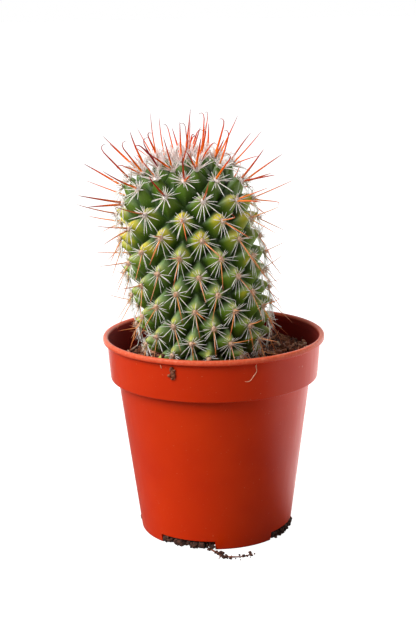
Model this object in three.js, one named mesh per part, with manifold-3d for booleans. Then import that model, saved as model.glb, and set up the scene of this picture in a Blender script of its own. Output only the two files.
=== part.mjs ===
import * as THREE from 'three';
import { ConvexHull } from 'three/addons/math/ConvexHull.js';
import { mergeVertices } from 'three/addons/utils/BufferGeometryUtils.js';
import Module from 'manifold-3d';

// A small nipple cactus in a 5.5 cm nursery pot of terracotta-orange plastic.
// Millimetres and degrees, +Z up. The origin is the centre of the pot's flat underside, and the
// front of the object looks along -Y. The stem leans a little to the left and to the front.

// ---- Pot -------------------------------------------------------------------------------------
const POT_HEIGHT = 50;
const POT_SIDES = 40;
const LIP_RADIUS = 27.5;
const LIP_HEIGHT = 1.8;
const LIP_ROUND = 0.5;
const BAND_TOP_RADIUS = 26.5;
const BAND_FOOT_RADIUS = 25.8;
const BAND_FOOT_HEIGHT = 39.4;
const STEP_RISE = 0.5;
const WALL_TOP_RADIUS = 24;
const BASE_RADIUS = 18.9;
const WALL = 0.9;
const FLOOR = 1;
const NOTCHES = 4;
const NOTCH_FIRST = 67;
const NOTCH_WIDTH = 44;
const NOTCH_HEIGHT = 2.2;
const NOTCH_INNER_RADIUS = 14.5;

// ---- Soil ------------------------------------------------------------------------------------
const GAP = 0.3;
const SOIL_HEIGHT = 43.6;
const SOIL_SLOPE = 0.055;
const SOIL_RINGS = [6, 12, 16, 19.5, 22];
const LUMP_BULGE = 0.6;
const DISH_CENTRE = [-1.4, -3];
const DISH_RADIUS = 15.2;
const DISH_HEIGHT = 43.2;

// ---- Stem ------------------------------------------------------------------------------------
// Heights along the leaning axis are counted from the point where it leaves the soil.
const STEM_FOOT = new THREE.Vector3(-0.2, -2.8, 42);
const STEM_LEAN = new THREE.Vector3(-0.155, -0.062, 1).normalize();
const STEM_RADIUS = 17.3;
const WIDEST_HEIGHT = 27;
const FOOT_TAPER = 0.13;
const DOME_HEIGHT = 25.6;
const DOME_POWER = 3.6;
const WAIST_TOP = 10;
const WAIST_DEPTH = 4;
const WAIST_BOW = new THREE.Vector3(-2, 0, 0);
const ROOT_SIDES = 24;
const ROOT_DEPTH = 14;
const ROOT_RADIUS = 2.5;
const NECK_RADIUS = 8;

// ---- Tubercles, on one spiral with the golden angle between neighbours -------------------------
const GOLDEN_ANGLE = 137.5078;
const SPIRAL_START = 275.66;
const FIRST_HEIGHT = 7.84;
const RISE = 0.352;
const RISE_GROWTH = 0.0004;
const LOWEST_INDEX = -21;
const LOWEST_OVER_SOIL = 1.9;
const CROWN_INDEX = 98;
const CROWN_COUNT = 37;
const CROWN_POWER = 0.6;
const TUBERCLE_HEIGHT = 4.3;
const TUBERCLE_TIP = 1.25;
const TUBERCLE_RAKE = 1.7;

// ---- Spines ----------------------------------------------------------------------------------
const RADIAL_LENGTH = 5.2;
const RADIAL_THICKNESS = 0.3;
const RADIAL_OFFSET = 0.6;
const RADIAL_TILT = 68;
const RADIAL_TURNS = [70, -100, 145];
const CENTRAL_LENGTH = 6.5;
const CROWN_LENGTH = 11.5;
const CENTRAL_THICKNESS = 0.46;
const CENTRAL_OFFSET = 0.35;
const CENTRAL_UP = 15;
const CENTRAL_DOWN = 42;
const HOOK_EVERY = 3;
const HOOK_REACH = 1.6;
const SPINE_SUNK = 0.6;
const SLIVER = 0.003;

const wasm = await Module();
wasm.setup();

const radians = THREE.MathUtils.degToRad;

// A closed geometry as a solid that can be joined and cut.
function toSolid(geometry) {
  const bare = geometry.clone();
  bare.deleteAttribute('normal');
  bare.deleteAttribute('uv');
  const merged = mergeVertices(bare, 1e-4);
  const vertProperties = Float32Array.from(merged.attributes.position.array);
  const triVerts = Uint32Array.from(merged.index.array);
  return new wasm.Manifold(new wasm.Mesh({ numProp: 3, vertProperties, triVerts }));
}

function toGeometry(solid) {
  const { vertProperties, triVerts } = solid.getMesh();
  const geometry = new THREE.BufferGeometry();
  geometry.setAttribute('position', new THREE.BufferAttribute(vertProperties, 3));
  geometry.setIndex(new THREE.BufferAttribute(triVerts, 1));
  geometry.computeVertexNormals();
  return geometry;
}

// A profile of [radius, height] pairs turned about the Z axis.
function turned(profile, sides) {
  const points = profile.map(([radius, height]) => new THREE.Vector2(radius, height));
  return new THREE.LatheGeometry(points, sides).rotateX(Math.PI / 2);
}

// A geometry that stands on Y, moved so that its foot is at one point and it runs to another.
function between(geometry, length, from, direction) {
  const turn = new THREE.Quaternion().setFromUnitVectors(new THREE.Vector3(0, 1, 0), direction);
  return geometry.translate(0, length / 2, 0).applyQuaternion(turn).translate(from.x, from.y, from.z);
}

// A block that follows the pot's round: part of a ring, centred on an azimuth that is counted
// from the front towards +X.
function ringBlock(inner, outer, low, high, azimuth, width) {
  const start = radians(azimuth - 90 - width / 2);
  const end = radians(azimuth - 90 + width / 2);
  const outline = new THREE.Shape();
  outline.absarc(0, 0, outer, start, end, false);
  outline.absarc(0, 0, inner, end, start, true);
  outline.closePath();
  const settings = { depth: high - low, bevelEnabled: false, curveSegments: 4 };
  return new THREE.ExtrudeGeometry(outline, settings).translate(0, 0, low);
}

function notchAzimuths() {
  return Array.from({ length: NOTCHES }, (_, i) => NOTCH_FIRST + (i * 360) / NOTCHES);
}

// ---- Pot: tapered wall, rim band, rounded lip and a flat floor with four drain notches ---------
function wallRadius(height) {
  return THREE.MathUtils.mapLinear(height, 0, BAND_FOOT_HEIGHT, BASE_RADIUS, WALL_TOP_RADIUS);
}

function pot() {
  const lipFoot = POT_HEIGHT - LIP_HEIGHT;
  const bandInner = BAND_FOOT_RADIUS - WALL;
  const shoulder = BAND_FOOT_HEIGHT - WALL;
  const profile = [
    [0, 0],
    [BASE_RADIUS, 0],
    [WALL_TOP_RADIUS, BAND_FOOT_HEIGHT],
    [BAND_FOOT_RADIUS, BAND_FOOT_HEIGHT],
    [BAND_TOP_RADIUS, lipFoot],
    [LIP_RADIUS, lipFoot],
    [LIP_RADIUS, POT_HEIGHT - LIP_ROUND],
    [LIP_RADIUS - LIP_ROUND, POT_HEIGHT],
    [BAND_TOP_RADIUS - LIP_ROUND, POT_HEIGHT],
    [bandInner, BAND_FOOT_HEIGHT + STEP_RISE],
    [wallRadius(shoulder) - WALL, shoulder],
    [wallRadius(FLOOR) - WALL, FLOOR],
    [0, FLOOR],
  ];
  const notches = notchAzimuths().map((azimuth) =>
    toSolid(ringBlock(NOTCH_INNER_RADIUS, BASE_RADIUS + 2, -1, NOTCH_HEIGHT, azimuth, NOTCH_WIDTH)));
  return toSolid(turned(profile, POT_SIDES)).subtract(wasm.Manifold.union(notches));
}

// ---- Stem shape --------------------------------------------------------------------------------
// How far into the drawn-in foot a height lies: a parabola from 0 at its top to 1 at the bottom.
function waist(height) {
  return (THREE.MathUtils.clamp(WAIST_TOP - height, 0, WAIST_TOP) / WAIST_TOP) ** 2;
}

// Radius of the tubercle tips at a height along the axis: a parabola below the widest point, drawn
// in further at the foot, and a superellipse above it.
function tipRadius(height) {
  if (height < WIDEST_HEIGHT) {
    const below = (WIDEST_HEIGHT - height) / WIDEST_HEIGHT;
    return STEM_RADIUS * (1 - FOOT_TAPER * below ** 2) - WAIST_DEPTH * waist(height);
  }
  const above = Math.min((height - WIDEST_HEIGHT) / DOME_HEIGHT, 1);
  return STEM_RADIUS * (1 - above ** DOME_POWER) ** (1 / DOME_POWER);
}

function domeHeight(radius) {
  return WIDEST_HEIGHT + DOME_HEIGHT * (1 - (radius / STEM_RADIUS) ** DOME_POWER) ** (1 / DOME_POWER);
}

// Outward normal of the tip surface in the (radius, height) plane.
function tipNormal(radius, height) {
  if (height < WIDEST_HEIGHT) {
    const taper = (2 * STEM_RADIUS * FOOT_TAPER * (WIDEST_HEIGHT - height)) / WIDEST_HEIGHT ** 2;
    const drawnIn = (2 * WAIST_DEPTH * Math.max(WAIST_TOP - height, 0)) / WAIST_TOP ** 2;
    return new THREE.Vector2(1, -taper - drawnIn).normalize();
  }
  const outward = (radius / STEM_RADIUS) ** (DOME_POWER - 1) / STEM_RADIUS;
  const upward = ((height - WIDEST_HEIGHT) / DOME_HEIGHT) ** (DOME_POWER - 1) / DOME_HEIGHT;
  return new THREE.Vector2(outward, upward).normalize();
}

const stemSide = new THREE.Vector3(0, 1, 0).cross(STEM_LEAN).normalize();
const stemBack = new THREE.Vector3().crossVectors(STEM_LEAN, stemSide);

// The woolly tip of one tubercle: its place, how grown it is, and the directions out of the stem,
// up along it and sideways round it.
function areole(index) {
  const risen = Math.min(index, CROWN_INDEX);
  let height = FIRST_HEIGHT + RISE * risen + RISE_GROWTH * risen ** 2;
  let radius = tipRadius(height);
  const young = Math.max(index - CROWN_INDEX, 0) / CROWN_COUNT;
  if (young > 0) {
    radius *= (1 - young) ** CROWN_POWER;
    height = domeHeight(radius);
  }
  const azimuth = radians(SPIRAL_START + GOLDEN_ANGLE * index);
  const outward = new THREE.Vector3()
    .addScaledVector(stemSide, Math.sin(azimuth))
    .addScaledVector(stemBack, -Math.cos(azimuth));
  const normal = tipNormal(radius, height);
  const out = outward.clone().multiplyScalar(normal.x).addScaledVector(STEM_LEAN, normal.y);
  const up = STEM_LEAN.clone().multiplyScalar(normal.x).addScaledVector(outward, -normal.y);
  const side = new THREE.Vector3().crossVectors(up, out);
  const place = STEM_FOOT.clone().addScaledVector(STEM_LEAN, height).addScaledVector(outward, radius)
    .addScaledVector(WAIST_BOW, waist(height));
  const size = (1 - young) ** 0.35;
  return { index, radius, height, azimuth, place, out, up, side, young, size };
}

// ---- Stem skin: every tubercle is a cell with flat flanks from its tip down to the valleys -------
// The areoles on a ball, each at its own azimuth and at the latitude where the ball's parallels
// shrink as the stem's do, so that neighbours on the ball are neighbours on the stem.
function onBall(tufts) {
  let stretch = -1.6;
  return tufts.map(({ radius, height, azimuth }, i) => {
    const last = tufts[Math.max(i - 1, 0)];
    stretch += Math.hypot(radius - last.radius, height - last.height) / ((radius + last.radius) / 2);
    const parallel = 1 / Math.cosh(stretch);
    return new THREE.Vector3(
      parallel * Math.sin(azimuth), -parallel * Math.cos(azimuth), Math.tanh(stretch));
  });
}

function mean(vectors) {
  return vectors.reduce((sum, vector) => sum.add(vector), new THREE.Vector3()).divideScalar(vectors.length);
}

// Between three tubercles: the middle of their tips, and the valley point under it, which lies
// lower because the tubercles are raked upward.
function hollow(tufts) {
  const middle = mean(tufts.map((tuft) => tuft.place));
  const size = (tufts[0].size + tufts[1].size + tufts[2].size) / 3;
  const valley = middle.clone()
    .addScaledVector(mean(tufts.map((tuft) => tuft.out)), -TUBERCLE_HEIGHT * size)
    .addScaledVector(mean(tufts.map((tuft) => tuft.up)), -TUBERCLE_RAKE * size);
  return { middle, valley };
}

// The corner of a tubercle's flat tip that points at the middle of one hollow.
function tipCorner(tuft, { middle }) {
  const reach = middle.clone().sub(tuft.place).projectOnPlane(tuft.out);
  return reach.setLength(TUBERCLE_TIP * tuft.size).add(tuft.place);
}

function skin(tufts) {
  const underside = {
    place: STEM_FOOT.clone().addScaledVector(STEM_LEAN, -2),
    out: STEM_LEAN.clone().negate(),
    up: new THREE.Vector3(),
    size: 1,
  };
  const owners = [...tufts, underside];
  const points = [...onBall(tufts), new THREE.Vector3(0, 0, -1)];
  const owner = new Map(points.map((point, i) => [point, owners[i]]));
  const hull = new ConvexHull().setFromPoints(points);
  const around = (face) => [face.edge, face.edge.next, face.edge.next.next];
  const hollows = new Map(hull.faces.map((face) =>
    [face, hollow(around(face).map((edge) => owner.get(edge.tail().point)))]));
  const corners = [];
  for (const edge of hull.faces.flatMap(around)) {
    const tuft = owner.get(edge.tail().point);
    const [left, right] = [hollows.get(edge.face), hollows.get(edge.twin.face)];
    const [tipLeft, tipRight] = [tipCorner(tuft, left), tipCorner(tuft, right)];
    corners.push(tuft.place, tipRight, tipLeft);
    corners.push(tipRight, right.valley, left.valley);
    corners.push(tipRight, left.valley, tipLeft);
  }
  return new THREE.BufferGeometry().setFromPoints(corners);
}

// ---- Root neck: a spindle from inside the stem down into the soil --------------------------------
function rootNeck() {
  const profile = [
    [0, -ROOT_DEPTH],
    [ROOT_RADIUS, -ROOT_DEPTH],
    [NECK_RADIUS, 0],
    [NECK_RADIUS - 1, 7],
    [0, 7],
  ];
  return onStem(turned(profile, ROOT_SIDES));
}

// Geometry made about the Z axis, set on the leaning axis of the stem.
function onStem(geometry) {
  const place = new THREE.Matrix4().makeBasis(stemSide, stemBack, STEM_LEAN).setPosition(STEM_FOOT);
  return geometry.applyMatrix4(place);
}

// ---- Spines ------------------------------------------------------------------------------------
// Direction that leaves the areole at a tilt from straight out, turned round from straight up.
function spineDirection({ out, up, side }, tilt, turn) {
  return out.clone().multiplyScalar(Math.cos(radians(tilt)))
    .addScaledVector(up, Math.sin(radians(tilt)) * Math.cos(radians(turn)))
    .addScaledVector(side, Math.sin(radians(tilt)) * Math.sin(radians(turn)));
}

// The top of the soil, a little higher on the right, with low bumps.
function soilTop(x, y) {
  const bumps = 0.5 * Math.sin(0.55 * x + 0.7) * Math.cos(0.5 * y) + 0.3 * Math.sin(0.8 * y + 0.3 * x);
  return SOIL_HEIGHT + SOIL_SLOPE * x + bumps;
}

// A spine tip is clear if it stands over the soil and inside the rim, or above the rim.
function isClear(tip) {
  const overRim = tip.z > POT_HEIGHT + 1;
  const inRim = Math.hypot(tip.x, tip.y) < BAND_FOOT_RADIUS - WALL - 1;
  return overRim || (inRim && tip.z > soilTop(tip.x, tip.y) + 1);
}

// Where a spine starts on its areole: off the middle, towards the side that it points to.
function spineRoot(tuft, offset, turn) {
  return tuft.place.clone().addScaledVector(spineDirection(tuft, 90, turn), offset * tuft.size);
}

// A straight spine: a three-sided needle that runs to a point.
function needle(tuft, { length, thickness, offset, tilt, turn }) {
  const root = spineRoot(tuft, offset, turn);
  const tip = root.clone().addScaledVector(spineDirection(tuft, tilt, turn), length);
  if (!isClear(tip)) return [];
  const foot = root.addScaledVector(tuft.out, -SPINE_SUNK);
  const direction = tip.sub(foot);
  const full = direction.length();
  const cone = new THREE.ConeGeometry(thickness / 2, full, 3);
  return [between(cone, full, foot, direction.normalize())];
}

// A hooked spine of the crown: a three-sided rod along a curve that turns back at its tip.
function hook(tuft, { length, thickness, offset, tilt, turn }) {
  const root = spineRoot(tuft, offset, turn);
  const along = spineDirection(tuft, tilt, turn);
  const across = spineDirection(tuft, tilt + 90, turn);
  const points = [[0.5, 0], [0.86, 0], [0.97, 0.3], [1, 0.75], [0.95, 1]].map(([run, reach]) =>
    root.clone().addScaledVector(along, run * length).addScaledVector(across, reach * HOOK_REACH));
  points.unshift(root.clone().addScaledVector(tuft.out, -SPINE_SUNK));
  const section = new THREE.Shape([90, 210, 330].map((angle) =>
    new THREE.Vector2(Math.cos(radians(angle)), Math.sin(radians(angle))).multiplyScalar(thickness / 2)));
  const extrudePath = new THREE.CatmullRomCurve3(points);
  return [new THREE.ExtrudeGeometry(section, { steps: 7, bevelEnabled: false, extrudePath })];
}

// The spines of one areole: white radials that lie almost flat, and longer red centrals, one that
// points down and one up, which grow longer and stand straighter towards the crown.
function spines(tuft) {
  const { index, young, size } = tuft;
  const swing = index % 2 === 0 ? 1 : -1;
  const grown = Math.min(Math.max(index, 0) / (CROWN_INDEX + 12), 1) ** 2;
  const central = THREE.MathUtils.lerp(CENTRAL_LENGTH, CROWN_LENGTH, grown);
  const radialSpine = {
    length: RADIAL_LENGTH * (0.55 + 0.45 * size),
    thickness: RADIAL_THICKNESS,
    offset: RADIAL_OFFSET,
    tilt: RADIAL_TILT,
  };
  const centralSpine = { length: central, thickness: CENTRAL_THICKNESS, offset: CENTRAL_OFFSET };
  const down = { length: central * 0.9, tilt: CENTRAL_DOWN * (1 - 0.4 * young), turn: 180 + 15 * swing };
  const up = { tilt: CENTRAL_UP, turn: 40 * swing };
  const hooked = young > 0 && index % HOOK_EVERY === 0;
  const upSpine = hooked ? hook : needle;
  return [
    ...RADIAL_TURNS.flatMap((turn) => needle(tuft, { ...radialSpine, turn: turn * swing })),
    ...needle(tuft, { ...centralSpine, ...down }),
    ...upSpine(tuft, { ...centralSpine, ...up }),
  ];
}

// The whole plant as one solid, without edges too short to matter.
function cactus() {
  const count = CROWN_INDEX + CROWN_COUNT - LOWEST_INDEX;
  const tufts = Array.from({ length: count }, (_, i) => areole(LOWEST_INDEX + i))
    .filter(({ place }) => place.z > SOIL_HEIGHT + LOWEST_OVER_SOIL);
  const pieces = [skin(tufts), rootNeck(), ...tufts.flatMap(spines)];
  return wasm.Manifold.union(pieces.map(toSolid)).simplify(SLIVER);
}

// ---- Soil: fills the pot, bulges into the drain notches, and has a plain hole for the stem ------
function stemHole() {
  const neck = onStem(turned([
    [0, -ROOT_DEPTH - GAP],
    [ROOT_RADIUS + GAP, -ROOT_DEPTH - GAP],
    [NECK_RADIUS + GAP, 0],
    [NECK_RADIUS + GAP, 7],
    [0, 7],
  ], ROOT_SIDES));
  const dish = turned([
    [0, DISH_HEIGHT],
    [DISH_RADIUS - 1, DISH_HEIGHT],
    [DISH_RADIUS, DISH_HEIGHT + 1],
    [DISH_RADIUS, POT_HEIGHT],
    [0, POT_HEIGHT],
  ], ROOT_SIDES).translate(...DISH_CENTRE, 0);
  return toSolid(neck).add(toSolid(dish));
}

function soilLump(azimuth) {
  const inner = NOTCH_INNER_RADIUS + GAP;
  const outer = BASE_RADIUS + LUMP_BULGE;
  return ringBlock(inner, outer, GAP, NOTCH_HEIGHT - GAP, azimuth, NOTCH_WIDTH - 2);
}

function soil() {
  const bottom = FLOOR + GAP;
  const shoulder = BAND_FOOT_HEIGHT - WALL;
  const body = turned([
    [0, bottom],
    [wallRadius(bottom) - WALL - GAP, bottom],
    [wallRadius(shoulder) - WALL - GAP, shoulder],
    [BAND_FOOT_RADIUS - WALL - GAP, BAND_FOOT_HEIGHT + STEP_RISE + 0.4],
    [BAND_FOOT_RADIUS - WALL - GAP, SOIL_HEIGHT],
    ...SOIL_RINGS.toReversed().map((radius) => [radius, SOIL_HEIGHT]),
    [0, SOIL_HEIGHT],
  ], POT_SIDES);
  const position = body.attributes.position;
  for (let i = 0; i < position.count; i++) {
    if (position.getZ(i) > SOIL_HEIGHT - 0.01) {
      position.setZ(i, soilTop(position.getX(i), position.getY(i)));
    }
  }
  const lumps = notchAzimuths().map((azimuth) => toSolid(soilLump(azimuth)));
  return wasm.Manifold.union([toSolid(body), ...lumps]).subtract(stemHole());
}

// ---- Scene graph -------------------------------------------------------------------------------
function mesh(name, solid, color, roughness) {
  const material = new THREE.MeshStandardMaterial({ color, roughness, metalness: 0 });
  const piece = new THREE.Mesh(toGeometry(solid), material);
  piece.name = name;
  return piece;
}

const group = new THREE.Group();
group.add(mesh('pot', pot(), 0xc4411c, 0.45));
group.add(mesh('soil', soil(), 0x3a2c22, 0.95));
group.add(mesh('cactus', cactus(), 0x3f6b34, 0.55));

export default group;
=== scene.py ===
import bpy
import numpy as np
from mathutils import Matrix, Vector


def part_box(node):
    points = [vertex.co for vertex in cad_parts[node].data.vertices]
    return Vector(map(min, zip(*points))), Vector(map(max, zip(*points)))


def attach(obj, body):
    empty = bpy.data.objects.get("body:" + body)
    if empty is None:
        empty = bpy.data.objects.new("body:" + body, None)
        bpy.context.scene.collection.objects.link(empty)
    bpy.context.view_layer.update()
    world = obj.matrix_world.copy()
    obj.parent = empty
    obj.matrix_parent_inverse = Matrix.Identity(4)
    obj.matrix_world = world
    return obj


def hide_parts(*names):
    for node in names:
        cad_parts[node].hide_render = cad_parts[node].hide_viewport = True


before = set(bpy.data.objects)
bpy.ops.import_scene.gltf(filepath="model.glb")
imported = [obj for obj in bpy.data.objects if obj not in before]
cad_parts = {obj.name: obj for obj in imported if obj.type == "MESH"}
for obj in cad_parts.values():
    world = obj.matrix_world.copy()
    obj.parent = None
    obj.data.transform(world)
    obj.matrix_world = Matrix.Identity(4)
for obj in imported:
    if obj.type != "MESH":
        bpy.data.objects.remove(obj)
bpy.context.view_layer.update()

# A small nipple cactus in a 5.5 cm nursery pot. Shapes are worked out in millimetres and turned to
# metres where a mesh is made. The origin is the centre of the pot's underside, +Z is up, and the
# front of the object looks along -Y. An azimuth is counted from the front towards +X, and a turn
# from +X towards the back.
MM = 0.001

# ---- Sizes ----------------
LIP_RADIUS, _, POT_HEIGHT = np.array(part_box("pot")[1]) / MM
LIP_HEIGHT = 1.3
LIP_FOOT = POT_HEIGHT - LIP_HEIGHT
BAND_TOP_RADIUS = 26.5
BAND_FOOT_RADIUS = 25.8
BAND_FOOT_HEIGHT = 39.4
BAND_TAPER = (BAND_TOP_RADIUS - BAND_FOOT_RADIUS) / (LIP_FOOT - BAND_FOOT_HEIGHT)
WALL_TOP_RADIUS = 24.0
BASE_RADIUS = 18.9
WALL = 0.9
FLOOR = 1.0
SHOULDER = BAND_FOOT_HEIGHT - WALL
STEP_RISE = 0.5
NOTCHES = 4
NOTCH_FIRST = 67.0
NOTCH_WIDTH = 44.0
NOTCH_HEIGHT = 2.2
NOTCH_INNER_RADIUS = 14.5

SOIL_HEIGHT = 43.6
SOIL_SLOPE = 0.055
SOIL_GAP = 0.3
DISH_CENTRE = np.array([-2.4, -3.0])
DISH_RADIUS = 14.0
DISH_EDGE = 0.5

STEM_FOOT = np.array([-0.2, -2.8, 42.0])
STEM_LEAN = np.array([-0.155, -0.062, 1.0])
STEM_RADIUS = 17.3
WIDEST_HEIGHT = 27.0
FOOT_TAPER = 0.13
DOME_HEIGHT = 25.6
DOME_POWER = 3.6
WAIST_TOP = 10.0
WAIST_DEPTH = 4.0
WAIST_BOW = np.array([-2.0, 0.0, 0.0])

GOLDEN_ANGLE = 137.5078
SPIRAL_START = 275.66
FIRST_HEIGHT = 7.84
RISE = 0.352
RISE_GROWTH = 0.0004
LOWEST_INDEX = -21
LOWEST_OVER_SOIL = 1.9
CROWN_INDEX = 98
CROWN_COUNT = 37
CROWN_POWER = 0.6
SIZE_POWER = 0.35
TUBERCLE_HEIGHT = 4.3
TUBERCLE_RAKE = 1.7
TUBERCLE_TOP = 0.9

# Stretches of the spiral, from one index to another, over which the areoles grow into those of the crown.
GROWING = (20, 94)
THICKENING = (70, 95)
WHITENING = (72, 98)
REDDENING = (76, 100)


# ---- Meshes ----------------
def unit(vectors):
    """Each vector divided by its length."""
    return vectors / np.linalg.norm(vectors, axis=-1, keepdims=True)


def spread(values, axes):
    """values with extra axes at the end, so that they multiply arrays of points."""
    return np.asarray(values).reshape(np.shape(values) + (1,) * axes)


def full_turn(steps):
    """Angles of that many even steps round a circle."""
    return np.arange(steps) * 2 * np.pi / steps


def around(radius, turn, height):
    """Points at a radius from the Z axis and at a height, turned round it from +X by an angle."""
    return np.stack(np.broadcast_arrays(radius * np.cos(turn), radius * np.sin(turn), height), axis=-1)


def hoops(line, inward, sideways, radius, sides):
    """Rings of points round the points of a line, from the two directions across it."""
    angle = spread(full_turn(sides), 1)
    ring = inward[..., None, :] * np.cos(angle) + sideways[..., None, :] * np.sin(angle)
    return line[..., None, :] + ring * spread(radius, 2)


def closed_grid(low_pole, rings, high_pole):
    """A closed skin of points[row, column] between two poles. Quads join each ring to the next, with
    outside to the right of the way up, and triangles join the end rings to the poles."""
    rows, columns = rings.shape[:2]
    points = np.vstack([rings.reshape(-1, 3), low_pole, high_pole])
    index = np.arange(rows * columns).reshape(rows, columns)
    right = np.roll(index, -1, axis=1)
    quads = np.stack([index[:-1], right[:-1], right[1:], index[1:]], axis=-1).reshape(-1, 4)
    low, high = np.full(columns, rows * columns), np.full(columns, rows * columns + 1)
    tris = np.vstack([np.stack([low, right[0], index[0]], axis=-1),
                      np.stack([index[-1], right[-1], high], axis=-1)])
    return points, quads, tris


def repeated(points, quads, tris):
    """Many copies of one skin as one mesh: points is [copy, point], and the faces are shifted."""
    shift = np.arange(len(points))[:, None, None] * points.shape[1]
    return points.reshape(-1, 3), (quads + shift).reshape(-1, 4), (tris + shift).reshape(-1, 3)


def joined(skins):
    """Several skins as one."""
    points, quads, tris = zip(*skins)
    shift = np.cumsum([0] + [len(those) for those in points[:-1]])
    return (np.vstack(points), np.vstack([faces + by for faces, by in zip(quads, shift)]),
            np.vstack([faces + by for faces, by in zip(tris, shift)]))


def put(name, data):
    """A new object of that data, linked to the scene."""
    thing = bpy.data.objects.new(name, data)
    bpy.context.scene.collection.objects.link(thing)
    return thing


def make_piece(name, skin, material, values=None, stands_for=None):
    """A smooth piece from points in millimetres. Each of values has one number per point, or one per
    copy for a skin made of equal copies."""
    points, quads, tris = skin
    corners = np.concatenate([quads.ravel(), tris.ravel()])
    starts = np.concatenate([np.arange(len(quads)) * 4, quads.size + np.arange(len(tris)) * 3])
    mesh = bpy.data.meshes.new(name)
    mesh.vertices.add(len(points))
    mesh.loops.add(len(corners))
    mesh.polygons.add(len(starts))
    mesh.vertices.foreach_set("co", (points * MM).astype(np.float32).ravel())
    mesh.loops.foreach_set("vertex_index", corners.astype(np.int32))
    mesh.polygons.foreach_set("loop_start", starts.astype(np.int32))
    mesh.polygons.foreach_set("use_smooth", np.ones(len(starts), dtype=bool))
    for key, numbers in (values or {}).items():
        layer = mesh.attributes.new(key, "FLOAT", "POINT")
        per_point = np.repeat(numbers, len(points) // len(numbers))
        layer.data.foreach_set("value", per_point.astype(np.float32))
    mesh.update(calc_edges=True)
    mesh.materials.append(material)
    piece = put(name, mesh)
    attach(piece, "root")
    if stands_for:
        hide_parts(stands_for)
    return piece


LATTICE = 64


def lattice_noise(x, y, cell, seed):
    """Smooth random heights from -1 to 1: random numbers on a square lattice of the given cell size,
    blended between lattice points with smoothstep weights. It repeats every LATTICE cells."""
    table = np.random.default_rng(seed).uniform(-1, 1, (LATTICE, LATTICE))
    column, row = np.floor(x / cell).astype(int), np.floor(y / cell).astype(int)
    along, across = (share**2 * (3 - 2 * share) for share in (x / cell - column, y / cell - row))
    near, far = (table[column % LATTICE, (row + k) % LATTICE] * (1 - along)
                 + table[(column + 1) % LATTICE, (row + k) % LATTICE] * along for k in (0, 1))
    return near * (1 - across) + far * across


# ---- Materials ----------------
def linear(colour):
    """An sRGB hex colour as linear RGBA."""
    channels = [int(colour[i : i + 2], 16) / 255 for i in (1, 3, 5)]
    return (*(c / 12.92 if c <= 0.04045 else ((c + 0.055) / 1.055) ** 2.4 for c in channels), 1.0)


def add(tree, kind, inputs=None, stops=(), **settings):
    """Adds a shader node of a kind. inputs gives sockets, by name or number, a value, an sRGB hex colour,
    or what to link: an output, or a node for the first of its outputs. stops lists the (place, hex
    colour) pairs of a colour ramp. Sockets that the settings switch off are passed over."""
    node = tree.nodes.new("ShaderNode" + kind)
    for name, value in settings.items():
        setattr(node, name, value)
    for key, value in (inputs or {}).items():
        in_use = [socket for socket in node.inputs if socket.enabled and socket.name == key]
        socket = in_use[0] if in_use else node.inputs[key]
        if isinstance(value, bpy.types.Node):
            value = next(output for output in value.outputs if output.enabled)
        if isinstance(value, bpy.types.NodeSocket):
            tree.links.new(value, socket)
        else:
            socket.default_value = linear(value) if isinstance(value, str) else value
    for i, (place, colour) in enumerate(stops):
        ramp = node.color_ramp.elements
        stop = ramp[i] if i < 2 else ramp.new(place)
        stop.position, stop.color = place, linear(colour)
    return node


def made_of(finish):
    """A material named for its finish: a function that lays its patterns on the Object coordinates, or
    on the values of the piece, and returns the Principled shader's sockets."""
    material = bpy.data.materials.new(finish.__name__)
    material.use_nodes = True
    tree = material.node_tree
    tree.nodes.clear()
    place = add(tree, "TexCoord").outputs["Object"]
    shader = add(tree, "BsdfPrincipled", finish(tree, place))
    add(tree, "OutputMaterial", {"Surface": shader})
    return material


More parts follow.
